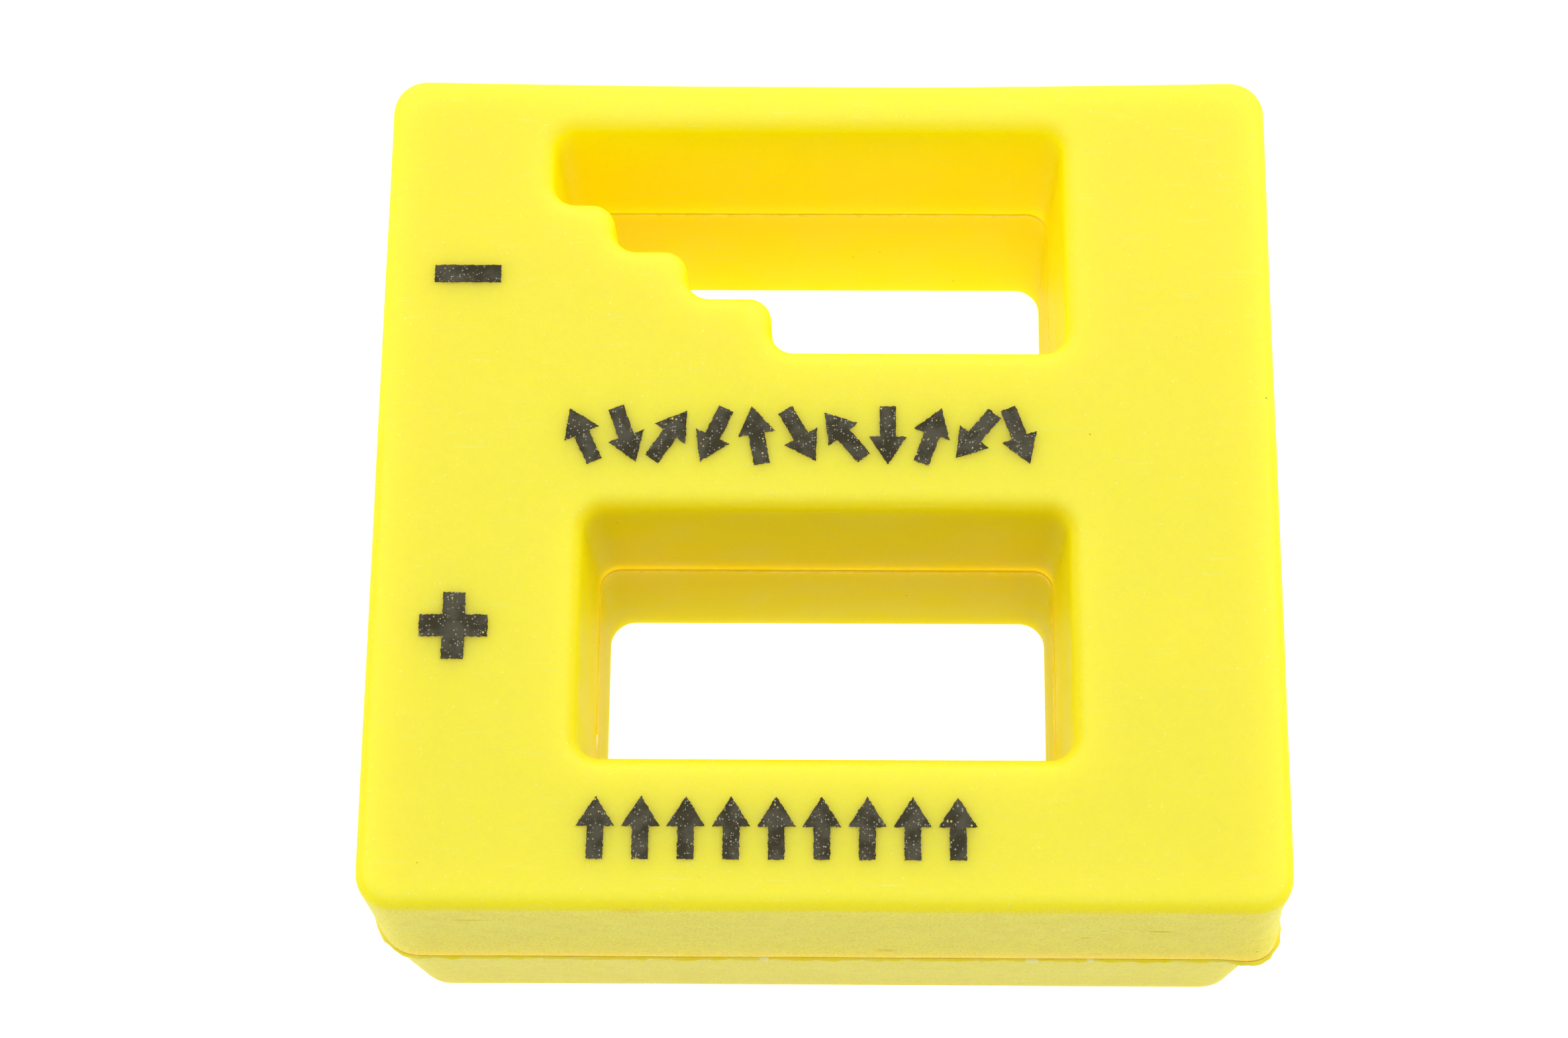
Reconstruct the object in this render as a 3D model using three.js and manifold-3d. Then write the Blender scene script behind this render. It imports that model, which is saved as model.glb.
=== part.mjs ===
// A permanent-magnet magnetizer and demagnetizer for small tools: a moulded block that lies flat on a
// bench. It is two half shells cemented together at a parting line, two ferrite magnets held inside on
// dabs of adhesive, a bead of cement in each seam, and the marks printed on the top face.
//
// Frame: +X to the right, +Y to the back, +Z up, origin at the centre of the bottom face. Millimetres.
import * as THREE from "three";
import { mergeVertices } from "three/addons/utils/BufferGeometryUtils.js";
import Module from "manifold-3d";

const wasm = await Module();
wasm.setup();

// ---- block ------------------------------------------------------------------------------------------
const WIDTH = 52; // left to right, at the parting line
const DEPTH = 50; // front to back, at the parting line
const HEIGHT = 28;
const LOWER_HEIGHT = 15; // bottom face to parting line
const UPPER_DRAFT = 0.6; // how far each outer wall leans in from the parting line to the top face
const LOWER_DRAFT = 0.35; // the same, to the bottom face
const UPPER_WINDOW_DRAFT = 0.08; // how far each window wall leans in from the top face to the parting line
const LOWER_WINDOW_DRAFT = 0.4; // and how far it leans out again from there to the bottom face
const CORNER_RADIUS = 2.6; // upright outer corners
const WINDOW_RADIUS = 1.3; // upright corners of the windows and the staircase
const EDGE_RADIUS = 1; // rounding where a wall meets the top or bottom face
const WALL = 1.6;
const FACE = 2; // thickness of the top and bottom faces

// ---- windows, as they open in the top face ---------------------------------------------------------------
const SIDE_MARGIN = 11.75; // from the edge of the top face to the side of a window
const STAIR_MARGIN = 9.52; // the same on the left of the stepped window
const FRONT_BAR = 8.36; // front edge to the plain window
const PLAIN_WINDOW_DEPTH = 14.17;
const BRIDGE = 9.42; // bar between the windows
const BACK_BAR = 3.25; // stepped window to the back edge
const STEP_COUNT = 3;
const THROAT = 4.55; // depth of the stepped window above its last step
const STEP_RISE = 2.88; // from one step to the next; the rise from the front takes what is left
const FIRST_SHELF = 3.58; // length of the shelf at the left
const SHELF_GROWTH = 0.65; // each shelf is this much longer than the one to its left

// ---- joint between the halves -------------------------------------------------------------------------
const LIP_WIDTH = 0.9;
const LIP_REACH = 1.2; // how far the upper half's lip enters the lower half
const LIP_ROOT = 0.5; // how far the lip is let into the wall above it
const LIP_GAP = 0.15;
const PIN_RADIUS = 1.2;
const PIN_REACH = 4;
const PIN_GAP = 0.15;
const BOSS_WALL = 1.1; // wall round a pin's socket
const BOSS_GAP = 0.15; // between a boss and the parting plane
const BEAD_SEAT = 0.35; // depth and half height of the chamfered seam that the cement fills
const BEAD_PROUD = 0.15; // how far the bead stands out of the wall

// ---- magnets and what holds them ----------------------------------------------------------------------
const MAGNET_GAP = 0.25;
const MAGNET_END_ROOM = 3.9; // from a magnet's end to the inner side wall
const MAGNET_EDGE = 0.4; // rounding of the ferrite block's upright edges
const POCKET_WALL = 1.2;
const POCKET_GRIP = 3; // how much of a magnet's end sits in its pocket
const POCKET_HEIGHT = 10;
const PAD_HEIGHT = 1; // the magnets stand this far above the floor
const STAY_DROP = 2.7; // depth of the ribs that hold the magnets down
const STAY_WIDTH = 1.2;
const STAY_SPREAD = 12; // each rib's distance from the middle
const DAB_INSET = 0.35; // a dab is this much narrower than the magnet at each side
const DAB_BULGE = 0.3; // how far its side swells beyond its ends
const DAB_SPREAD = 8;

// ---- print --------------------------------------------------------------------------------------------
const INK = 0.05; // thickness of the print
const SIGN_INSET = 4.83; // left edge of the top face to the middle of a sign
const SIGN_SPAN = 3.8;
const MINUS_BAR = 1.05;
const PLUS_BAR = 1.25;
const PLUS_RISE = 0.2; // the plus sign is this far behind its window's middle
const MINUS_DROP = 2.3; // the minus sign is this far in front of its window's middle
const ARROW_PITCH = 2.46;
const ARROW_SHAFT = 0.9;
const ARROW_HEAD_WIDTH = 2.1;
const ARROW_HEAD_LENGTH = 1.65;
const ROW_HEIGHT = 3.45; // length of an upright arrow
const BRIDGE_ROW_SHIFT = [-1.45, -0.465]; // from the middle of the bridge to the middle of its row
const FRONT_ROW_SHIFT = [-2.58, 0.22]; // the same in the front bar
const ALIGNED_COUNT = 9;
// Directions of the scattered arrows, in degrees from +Y, left to right.
const SCATTERED = [25, 200, -35, 155, 10, -150, 40, 180, -20, 140, -160];

// ---- resolution ---------------------------------------------------------------------------------------
const CORNER_STEPS = 5;
const EDGE_STEPS = 4;
const ROUND_SIDES = 20;
const OVERSHOOT = 1; // how far a cutting tool runs past the surface that it cuts
const SMALLEST_RADIUS = 0.05;

// ---- sizes that follow --------------------------------------------------------------------------------
const TOP_X = WIDTH / 2 - UPPER_DRAFT;
const TOP_Y = DEPTH / 2 - UPPER_DRAFT;
const UPPER_HEIGHT = HEIGHT - LOWER_HEIGHT;
const INNER_INSET = Math.max(UPPER_DRAFT, LOWER_DRAFT) + WALL; // parting outline to the hollow

const BLOCK = rectangle(-WIDTH / 2, WIDTH / 2, -DEPTH / 2, DEPTH / 2);
const plain = {
  left: -TOP_X + SIDE_MARGIN,
  right: TOP_X - SIDE_MARGIN,
  front: -TOP_Y + FRONT_BAR,
  back: -TOP_Y + FRONT_BAR + PLAIN_WINDOW_DEPTH,
};
const stepped = {
  left: -TOP_X + STAIR_MARGIN,
  right: plain.right,
  front: plain.back + BRIDGE,
  back: TOP_Y - BACK_BAR,
};
const PLAIN_WINDOW = rectangle(plain.left, plain.right, plain.front, plain.back);
const STEPPED_WINDOW = staircase(stepped);
const WINDOWS = [PLAIN_WINDOW, STEPPED_WINDOW];

const upper = { height: UPPER_HEIGHT, draft: UPPER_DRAFT, windowDraft: UPPER_WINDOW_DRAFT, up: 1 };
const lower = { height: LOWER_HEIGHT, draft: LOWER_DRAFT, windowDraft: LOWER_WINDOW_DRAFT, up: -1 };

const BRIDGE_Y = (plain.back + stepped.front) / 2;
const FRONT_BAR_Y = -TOP_Y + FRONT_BAR / 2;
const magnet = {
  length: 2 * (TOP_X - WALL - MAGNET_END_ROOM),
  thick: Math.min(FRONT_BAR, BRIDGE) - 2 * WALL - 2 * MAGNET_GAP,
  height: HEIGHT - 2 * FACE - PAD_HEIGHT - STAY_DROP - MAGNET_GAP,
};
const MAGNET_ROWS = { front: FRONT_BAR_Y, bridge: BRIDGE_Y };
const PIN_X = TOP_X - STAIR_MARGIN / 2;
const PIN_YS = [(plain.front + plain.back) / 2, (stepped.front + stepped.back) / 2];

// ---- outlines -----------------------------------------------------------------------------------------

// A rectangle's corners, counter-clockwise.
function rectangle(left, right, front, back) {
  return [[left, front], [right, front], [right, back], [left, back]];
}

// The stepped window's corners, counter-clockwise: a box with steps climbing from front to back on its left.
function staircase({ left, right, front, back }) {
  const corners = [[right, front], [right, back], [left, back]];
  let x = left;
  for (let step = STEP_COUNT; step > 0; step -= 1) {
    const y = back - THROAT - (STEP_COUNT - step) * STEP_RISE;
    corners.push([x, y]);
    x += FIRST_SHELF + (STEP_COUNT - step) * SHELF_GROWTH;
    corners.push([x, y]);
  }
  corners.push([x, front]);
  return corners;
}

// A right-angled outline moved outwards by grow, with its corners rounded. Every call gives each corner
// the same number of points, so outlines of one set of corners can be joined point to point.
function outline(corners, radius, grow) {
  const points = [];
  const at = (i) => new THREE.Vector2(...corners[(i + corners.length) % corners.length]);
  corners.forEach((_, i) => {
    const inward = at(i).sub(at(i - 1));
    const onward = at(i + 1).sub(at(i));
    const room = Math.min(inward.length(), onward.length()) / 2;
    inward.normalize();
    onward.normalize();
    const turn = Math.sign(inward.cross(onward));
    const r = Math.max(Math.min(radius, 0.9 * room) + turn * grow, SMALLEST_RADIUS);
    const corner = at(i)
      .add(new THREE.Vector2(inward.y, -inward.x).multiplyScalar(grow))
      .add(new THREE.Vector2(onward.y, -onward.x).multiplyScalar(grow));
    const centre = corner.addScaledVector(inward, -r).addScaledVector(onward, r);
    for (let step = 0; step <= CORNER_STEPS; step += 1) {
      const angle = (step / CORNER_STEPS) * (Math.PI / 2);
      points.push(
        centre
          .clone()
          .addScaledVector(inward, r * Math.sin(angle))
          .addScaledVector(onward, -r * Math.cos(angle)),
      );
    }
  });
  return points;
}

// ---- solids -------------------------------------------------------------------------------------------

function solidOf(geometry) {
  const bare = geometry.clone();
  bare.deleteAttribute("normal");
  bare.deleteAttribute("uv");
  const merged = mergeVertices(bare, 1e-5);
  return new wasm.Manifold(
    new wasm.Mesh({
      numProp: 3,
      vertProperties: merged.attributes.position.array,
      triVerts: new Uint32Array(merged.index.array),
    }),
  );
}

function geometryOf(solid) {
  const mesh = solid.getMesh();
  const geometry = new THREE.BufferGeometry()
    .setAttribute("position", new THREE.BufferAttribute(mesh.vertProperties, 3))
    .setIndex(new THREE.BufferAttribute(mesh.triVerts, 1));
  geometry.computeVertexNormals();
  return geometry;
}

const joined = (solids) => solids.reduce((sum, solid) => sum.add(solid));

// The side faces between each outline of a stack and the next one up.
function bands(sections, count, closed) {
  const faces = [];
  const last = closed ? sections : sections - 1;
  for (let level = 0; level < last; level += 1) {
    const here = level * count;
    const above = ((level + 1) % sections) * count;
    for (let i = 0; i < count; i += 1) {
      const next = (i + 1) % count;
      faces.push(here + i, here + next, above + next, here + i, above + next, above + i);
    }
  }
  return faces;
}

function stack(sections) {
  const positions = sections.flatMap(({ z, points }) => points.flatMap((p) => [p.x, p.y, z]));
  const attribute = new THREE.BufferAttribute(new Float32Array(positions), 3);
  return new THREE.BufferGeometry().setAttribute("position", attribute);
}

// A closed solid through outlines at rising or falling heights.
function loft(sections) {
  const rising = [...sections].sort((a, b) => a.z - b.z);
  const count = rising[0].points.length;
  const top = (rising.length - 1) * count;
  const floor = THREE.ShapeUtils.triangulateShape(rising[0].points, []);
  const roof = THREE.ShapeUtils.triangulateShape(rising[rising.length - 1].points, []);
  const faces = [
    ...bands(rising.length, count, false),
    ...floor.flatMap(([a, b, c]) => [c, b, a]),
    ...roof.flatMap(([a, b, c]) => [top + a, top + b, top + c]),
  ];
  return solidOf(stack(rising).setIndex(faces));
}

// A ring round an outline: its section is a list of [grow, z], clockwise with grow to the right and z up.
function ring(corners, radius, section) {
  const outlines = section.map(([grow, z]) => ({ z, points: outline(corners, radius, grow) }));
  return solidOf(stack(outlines).setIndex(bands(section.length, outlines[0].points.length, true)));
}

function prism(corners, radius, grow, low, high) {
  return loft([low, high].map((z) => ({ z, points: outline(corners, radius, grow) })));
}

function block([x0, x1], [y0, y1], [z0, z1]) {
  const box = new THREE.BoxGeometry(x1 - x0, y1 - y0, z1 - z0);
  return solidOf(box.translate((x0 + x1) / 2, (y0 + y1) / 2, (z0 + z1) / 2));
}

function post(x, y, radius, low, high) {
  const cylinder = new THREE.CylinderGeometry(radius, radius, high - low, ROUND_SIDES);
  return solidOf(cylinder.rotateX(Math.PI / 2).translate(x, y, (low + high) / 2));
}

// ---- half shells, each in the parting plane's frame: z = 0 is the parting plane ------------------------

// How far a half's outer wall stands outside the parting outline, at a height above or below the plane.
const outerGrow = (half, h) => (-half.draft * h) / half.height;
// How far a window's wall stands outside the window's outline, which is the one in the top face.
const windowGrow = (half, h) => (half.windowDraft * h) / half.height - UPPER_WINDOW_DRAFT;

// The heights and growths of a wall that starts in the seam and ends in a rounded edge. out is 1 for the
// outside of the block, and -1 for a window, where the seam and the edge bend the other way.
function wallSections(half, growAt, out) {
  const straight = half.height - EDGE_RADIUS;
  const sections = [[0, growAt(half, 0) - out * BEAD_SEAT], [BEAD_SEAT, growAt(half, BEAD_SEAT)]];
  for (let step = 0; step <= EDGE_STEPS; step += 1) {
    const angle = (step / EDGE_STEPS) * (Math.PI / 2);
    sections.push([
      straight + EDGE_RADIUS * Math.sin(angle),
      growAt(half, straight) - out * EDGE_RADIUS * (1 - Math.cos(angle)),
    ]);
  }
  return sections;
}

const placed = (half, corners, radius, sections) =>
  sections.map(([h, grow]) => ({ z: half.up * h, points: outline(corners, radius, grow) }));

function outerBody(half) {
  return loft(placed(half, BLOCK, CORNER_RADIUS, wallSections(half, outerGrow, 1)));
}

function windowCut(half, corners) {
  const sections = wallSections(half, windowGrow, -1);
  const [, seamGrow] = sections[0];
  const [faceHeight, faceGrow] = sections[sections.length - 1];
  sections.unshift([-OVERSHOOT, seamGrow]);
  sections.push([faceHeight + OVERSHOOT, faceGrow]);
  return loft(placed(half, corners, WINDOW_RADIUS, sections));
}

// The room inside a half: within the outer wall, and outside the wall round each window.
function hollow(half) {
  const near = -half.up * OVERSHOOT;
  const far = half.up * (half.height - FACE);
  const [low, high] = near < far ? [near, far] : [far, near];
  const room = prism(BLOCK, CORNER_RADIUS, -INNER_INSET, low, high);
  const tubes = WINDOWS.map((corners) =>
    prism(corners, WINDOW_RADIUS, WALL, low - OVERSHOOT, high + OVERSHOOT),
  );
  return room.subtract(joined(tubes));
}

function halfShell(half) {
  const cuts = WINDOWS.map((corners) => windowCut(half, corners));
  return outerBody(half).subtract(hollow(half)).subtract(joined(cuts));
}

// The lip of the upper half, or with a gap added, the groove for it in the lower half.
function lip(gap, top) {
  const bottom = -LIP_REACH - gap;
  const outer = prism(BLOCK, CORNER_RADIUS, gap + LIP_WIDTH - INNER_INSET, bottom, top);
  const inner = prism(BLOCK, CORNER_RADIUS, -gap - INNER_INSET, bottom - OVERSHOOT, top + OVERSHOOT);
  return outer.subtract(inner);
}

function atPins(make) {
  return joined([-PIN_X, PIN_X].flatMap((x) => PIN_YS.map((y) => make(x, y))));
}

// Ribs under the top face that keep the magnets down, let into the walls on both sides.
function stays() {
  const ceiling = UPPER_HEIGHT - FACE;
  const reach = magnet.thick / 2 + MAGNET_GAP + WALL / 2;
  return joined(
    Object.values(MAGNET_ROWS).flatMap((y) =>
      [-STAY_SPREAD, STAY_SPREAD].map((x) =>
        block(
          [x - STAY_WIDTH / 2, x + STAY_WIDTH / 2],
          [y - reach, y + reach],
          [ceiling - STAY_DROP, ceiling + FACE / 2],
        ),
      ),
    ),
  );
}

function upperShell() {
  const bossRadius = PIN_RADIUS + BOSS_WALL;
  const bosses = atPins((x, y) => post(x, y, bossRadius, BOSS_GAP, UPPER_HEIGHT - FACE / 2));
  const pins = atPins((x, y) => post(x, y, PIN_RADIUS, -PIN_REACH, BOSS_GAP + OVERSHOOT));
  return joined([halfShell(upper), lip(0, LIP_ROOT), bosses, pins, stays()]);
}

// A three-sided pocket that a magnet's end drops into. Its floor carries the magnet.
function pocket(side, y) {
  const floor = -LOWER_HEIGHT + FACE;
  const grip = magnet.length / 2 - POCKET_GRIP;
  const end = magnet.length / 2 + MAGNET_GAP;
  const across = magnet.thick / 2 + MAGNET_GAP;
  const span = (a, b) => [side * a, side * b].sort((p, q) => p - q);
  const outside = block(
    span(grip, end + POCKET_WALL),
    [y - across - POCKET_WALL, y + across + POCKET_WALL],
    [floor - FACE / 2, floor + POCKET_HEIGHT],
  );
  const slot = block(
    span(grip - OVERSHOOT, end),
    [y - across, y + across],
    [floor + PAD_HEIGHT, floor + POCKET_HEIGHT + OVERSHOOT],
  );
  return outside.subtract(slot);
}

function lowerShell() {
  const bossRadius = PIN_RADIUS + PIN_GAP + BOSS_WALL;
  const bosses = atPins((x, y) => post(x, y, bossRadius, -LOWER_HEIGHT + FACE / 2, -BOSS_GAP));
  const sockets = atPins((x, y) => post(x, y, PIN_RADIUS + PIN_GAP, -PIN_REACH - PIN_GAP, OVERSHOOT));
  const pockets = Object.values(MAGNET_ROWS).flatMap((y) => [-1, 1].map((side) => pocket(side, y)));
  const windows = joined(WINDOWS.map((corners) => windowCut(lower, corners)));
  return joined([halfShell(lower), bosses, ...pockets])
    .subtract(windows)
    .subtract(sockets)
    .subtract(lip(LIP_GAP, OVERSHOOT));
}

// ---- cement in the seams, in the parting plane's frame --------------------------------------------------

// The bead fills the chamfers of both halves and stands a little proud of them.
function seamBead(corners, radius, growAt, out) {
  const proud = growAt(upper, 0) + out * BEAD_PROUD;
  const section = [
    [growAt(upper, 0) - out * BEAD_SEAT, 0],
    [growAt(lower, BEAD_SEAT), -BEAD_SEAT],
    [proud, -BEAD_SEAT / 2],
    [proud, BEAD_SEAT / 2],
    [growAt(upper, BEAD_SEAT), BEAD_SEAT],
  ];
  return ring(corners, radius, out > 0 ? section : section.reverse());
}

// ---- inner pieces and print -----------------------------------------------------------------------------

function magnetGeometry() {
  const half = rectangle(-magnet.length / 2, magnet.length / 2, -magnet.thick / 2, magnet.thick / 2);
  const shape = new THREE.Shape(outline(half, MAGNET_EDGE, 0));
  return new THREE.ExtrudeGeometry(shape, { depth: magnet.height, bevelEnabled: false });
}

function dabGeometry() {
  const radius = magnet.thick / 2 - DAB_INSET;
  const profile = [
    [0, 0],
    [radius, 0],
    [radius + DAB_BULGE, PAD_HEIGHT / 2],
    [radius, PAD_HEIGHT],
    [0, PAD_HEIGHT],
  ].map(([x, y]) => new THREE.Vector2(x, y));
  return new THREE.LatheGeometry(profile, ROUND_SIDES).rotateX(Math.PI / 2);
}

function print(points) {
  const shape = new THREE.Shape(points.map(([x, y]) => new THREE.Vector2(x, y)));
  return new THREE.ExtrudeGeometry(shape, { depth: INK, bevelEnabled: false });
}

function minusGeometry() {
  return print(rectangle(-SIGN_SPAN / 2, SIGN_SPAN / 2, -MINUS_BAR / 2, MINUS_BAR / 2));
}

function plusGeometry() {
  const a = PLUS_BAR / 2;
  const b = SIGN_SPAN / 2;
  return print([
    [-b, -a], [-a, -a], [-a, -b], [a, -b], [a, -a], [b, -a],
    [b, a], [a, a], [a, b], [-a, b], [-a, a], [-b, a],
  ]);
}

// A block arrow that points along +Y, centred on its length.
function arrowGeometry() {
  const shaft = ARROW_SHAFT / 2;
  const head = ARROW_HEAD_WIDTH / 2;
  const tip = ROW_HEIGHT / 2;
  const neck = tip - ARROW_HEAD_LENGTH;
  return print([
    [-shaft, -tip], [shaft, -tip], [shaft, neck], [head, neck], [0, tip], [-head, neck], [-shaft, neck],
  ]);
}

// ---- finishes -------------------------------------------------------------------------------------------
const finish = (color, roughness) => () =>
  new THREE.MeshStandardMaterial({ color, roughness, metalness: 0 });
const yellowPlastic = finish(0xfbe63c, 0.45);
const cement = finish(0xfaea62, 0.3);
const ferrite = finish(0x38383a, 0.7);
const adhesive = finish(0xe9e4cf, 0.35);
const printInk = finish(0x36342f, 0.6);

function piece(name, geometry, material, [x, y, z] = [0, 0, 0]) {
  const mesh = new THREE.Mesh(geometry, material());
  mesh.name = name;
  mesh.position.set(x, y, z);
  return mesh;
}

// ---- assembly -------------------------------------------------------------------------------------------
function casing() {
  const group = new THREE.Group();
  group.position.z = LOWER_HEIGHT;
  const bead = (...path) => geometryOf(seamBead(...path));
  group.add(
    piece("lower_shell", geometryOf(lowerShell()), yellowPlastic),
    piece("upper_shell", geometryOf(upperShell()), yellowPlastic),
    piece("seam_bead_outer", bead(BLOCK, CORNER_RADIUS, outerGrow, 1), cement),
    piece("seam_bead_magnetize", bead(PLAIN_WINDOW, WINDOW_RADIUS, windowGrow, -1), cement),
    piece("seam_bead_demagnetize", bead(STEPPED_WINDOW, WINDOW_RADIUS, windowGrow, -1), cement),
  );
  return group;
}

function magnetParts() {
  const group = new THREE.Group();
  group.position.z = FACE;
  for (const [row, y] of Object.entries(MAGNET_ROWS)) {
    group.add(piece(`${row}_magnet`, magnetGeometry(), ferrite, [0, y, PAD_HEIGHT]));
    for (const [name, side] of [["left", -1], ["right", 1]]) {
      group.add(piece(`${row}_adhesive_${name}`, dabGeometry(), adhesive, [side * DAB_SPREAD, y, 0]));
    }
  }
  return group;
}

// A row of arrows, one for each direction, centred on a point of the top face.
function arrowRow(name, [x, y], directions) {
  const group = new THREE.Group();
  group.position.set(x, y, 0);
  directions.forEach((direction, i) => {
    const offset = (i - (directions.length - 1) / 2) * ARROW_PITCH;
    const arrow = piece(`${name}_${i + 1}`, arrowGeometry(), printInk, [offset, 0, 0]);
    arrow.rotation.z = THREE.MathUtils.degToRad(direction);
    group.add(arrow);
  });
  return group;
}

function marks() {
  const group = new THREE.Group();
  group.position.z = HEIGHT;
  const signX = -TOP_X + SIGN_INSET;
  const [plainY, steppedY] = PIN_YS;
  const [bridgeX, bridgeY] = BRIDGE_ROW_SHIFT;
  const [frontX, frontY] = FRONT_ROW_SHIFT;
  group.add(
    piece("plus_mark", plusGeometry(), printInk, [signX, plainY + PLUS_RISE, 0]),
    piece("minus_mark", minusGeometry(), printInk, [signX, steppedY - MINUS_DROP, 0]),
    arrowRow("demagnetize_arrow", [bridgeX, BRIDGE_Y + bridgeY], SCATTERED),
    arrowRow("magnetize_arrow", [frontX, FRONT_BAR_Y + frontY], Array(ALIGNED_COUNT).fill(0)),
  );
  return group;
}

const demagnetizer = new THREE.Group();
demagnetizer.add(casing(), magnetParts(), marks());
export default demagnetizer;
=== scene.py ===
"""The looks of a moulded magnetizer and demagnetizer block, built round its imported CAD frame.

Lengths are metres in the CAD frame: +X right, +Y back, +Z up, origin under the middle of the block.
"""

import logging
import math
from collections.abc import Iterable
from dataclasses import dataclass, field
from enum import Enum

import bmesh
import bpy
from mathutils import Matrix, Vector, noise


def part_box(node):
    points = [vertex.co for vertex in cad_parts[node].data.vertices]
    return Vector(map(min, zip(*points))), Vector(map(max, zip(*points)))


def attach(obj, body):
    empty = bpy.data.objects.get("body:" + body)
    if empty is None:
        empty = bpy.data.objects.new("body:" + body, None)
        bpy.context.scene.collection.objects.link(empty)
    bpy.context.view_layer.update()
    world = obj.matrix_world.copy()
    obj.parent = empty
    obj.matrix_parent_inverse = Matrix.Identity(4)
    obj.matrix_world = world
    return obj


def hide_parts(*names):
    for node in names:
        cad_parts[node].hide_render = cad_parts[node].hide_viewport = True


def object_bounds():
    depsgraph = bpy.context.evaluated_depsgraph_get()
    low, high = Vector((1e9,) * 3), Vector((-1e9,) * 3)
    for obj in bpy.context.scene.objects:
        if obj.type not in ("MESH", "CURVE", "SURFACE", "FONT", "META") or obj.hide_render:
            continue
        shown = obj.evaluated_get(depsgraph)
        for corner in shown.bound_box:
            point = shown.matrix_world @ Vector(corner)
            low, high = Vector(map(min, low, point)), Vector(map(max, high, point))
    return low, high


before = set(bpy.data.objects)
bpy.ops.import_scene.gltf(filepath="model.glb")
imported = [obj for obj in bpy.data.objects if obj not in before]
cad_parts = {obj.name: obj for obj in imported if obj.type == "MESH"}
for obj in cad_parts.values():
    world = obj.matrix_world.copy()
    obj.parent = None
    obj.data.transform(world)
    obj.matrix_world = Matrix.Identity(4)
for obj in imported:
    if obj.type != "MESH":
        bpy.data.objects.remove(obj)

CAD_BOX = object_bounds()
MM = 0.001
BODY = "root"
Rings = list[tuple[float, float]]  # steps of a wall: how far it stands outside its outline, and its height
Triple = tuple[float, float, float]
Colour = Triple
NodeSocket = bpy.types.NodeSocket
BLACK = (0.0, 0.0, 0.0, 1.0)

log = logging.getLogger("demagnetizer")


# ---- outlines and walls ----


def cut_edges(bm: bmesh.types.BMesh, pitch: float) -> None:
    """Cuts every edge of a mesh into equal lengths.

    Args:
        bm: The mesh.
        pitch: The length that the pieces come nearest to.
    """
    for edge in bm.edges[:]:
        cuts = round(edge.calc_length() / pitch) - 1
        if cuts > 0:
            bmesh.ops.subdivide_edges(bm, edges=[edge], cuts=cuts)


@dataclass
class Outline:
    """A right-angled outline, counter-clockwise, with rounded corners."""

    corners: list[tuple[float, float]]
    radius: float
    corner_steps: int = 8
    pitch: float = 0.8 * MM

    def draw(self, bm: bmesh.types.BMesh) -> None:
        """Draws the outline as a closed wire.

        Args:
            bm: An empty mesh that receives the wire.
        """
        verts = [bm.verts.new((x, y, 0.0)) for x, y in self.corners]
        for start, end in zip(verts, verts[1:] + verts[:1]):
            bm.edges.new((start, end))
        bmesh.ops.bevel(
            bm,
            geom=verts,
            offset=self.radius,
            offset_type="OFFSET",
            segments=self.corner_steps,
            profile=0.5,
            affect="VERTICES",
            material=-1,
        )
        cut_edges(bm, self.pitch)


@dataclass
class RoundOutline:
    """A circle round a point."""

    x: float
    y: float
    radius: float
    sides: int = 24

    def draw(self, bm: bmesh.types.BMesh) -> None:
        """Draws the circle as a closed wire.

        Args:
            bm: An empty mesh that receives the wire.
        """
        place = Matrix.Translation((self.x, self.y, 0.0))
        bmesh.ops.create_circle(bm, cap_ends=False, radius=self.radius, segments=self.sides, matrix=place)


def wire_in_order(bm: bmesh.types.BMesh) -> list[bmesh.types.BMVert]:
    """Walks once round a closed wire.

    Args:
        bm: A mesh that holds one closed wire and nothing else.

    Returns:
        The wire's vertices, counter-clockwise seen from above.
    """
    bm.verts.ensure_lookup_table()
    order = [bm.verts[0]]
    edge = order[0].link_edges[0]
    while len(order) < len(bm.verts):
        order.append(edge.other_vert(order[-1]))
        edge = next(e for e in order[-1].link_edges if e is not edge)
    area = sum(a.co.x * b.co.y - b.co.x * a.co.y for a, b in zip(order, order[1:] + order[:1]))
    return order if area > 0 else order[::-1]


def swept_wall(outline: Outline | RoundOutline, rings: Rings) -> bmesh.types.BMesh:
    """Carries an outline through a list of steps and leaves a wall behind it.

    Args:
        outline: The outline that the wall follows.
        rings: The steps, as the distance outside the outline and the height.

    Returns:
        A new mesh with the wall. Its vertices keep their place on the outline and the way out of it.
    """
    bm = bmesh.new()
    bm.verts.layers.float_vector.new("start")
    bm.verts.layers.float_vector.new("out")
    outline.draw(bm)
    start = bm.verts.layers.float_vector["start"]
    out = bm.verts.layers.float_vector["out"]
    order = wire_in_order(bm)
    for i, vert in enumerate(order):
        onward = (order[(i + 1) % len(order)].co - vert.co).normalized()
        inward = (vert.co - order[i - 1].co).normalized()
        normals = Vector((inward.y + onward.y, -inward.x - onward.x, 0.0))
        vert[start] = vert.co
        vert[out] = normals / (1.0 + inward.dot(onward))

    def place(verts: Iterable[bmesh.types.BMVert], grow: float, height: float) -> None:
        """Puts vertices at a distance outside the outline, and at a height."""
        for vert in verts:
            vert.co = vert[start] + grow * vert[out] + Vector((0.0, 0.0, height))

    place(bm.verts, *rings[0])
    edges = bm.edges[:]
    for grow, height in rings[1:]:
        made = bmesh.ops.extrude_edge_only(bm, edges=edges)["geom"]
        verts = {item for item in made if isinstance(item, bmesh.types.BMVert)}
        edges = [item for item in made if isinstance(item, bmesh.types.BMEdge) and set(item.verts) <= verts]
        place(verts, grow, height)
    return bm


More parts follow.
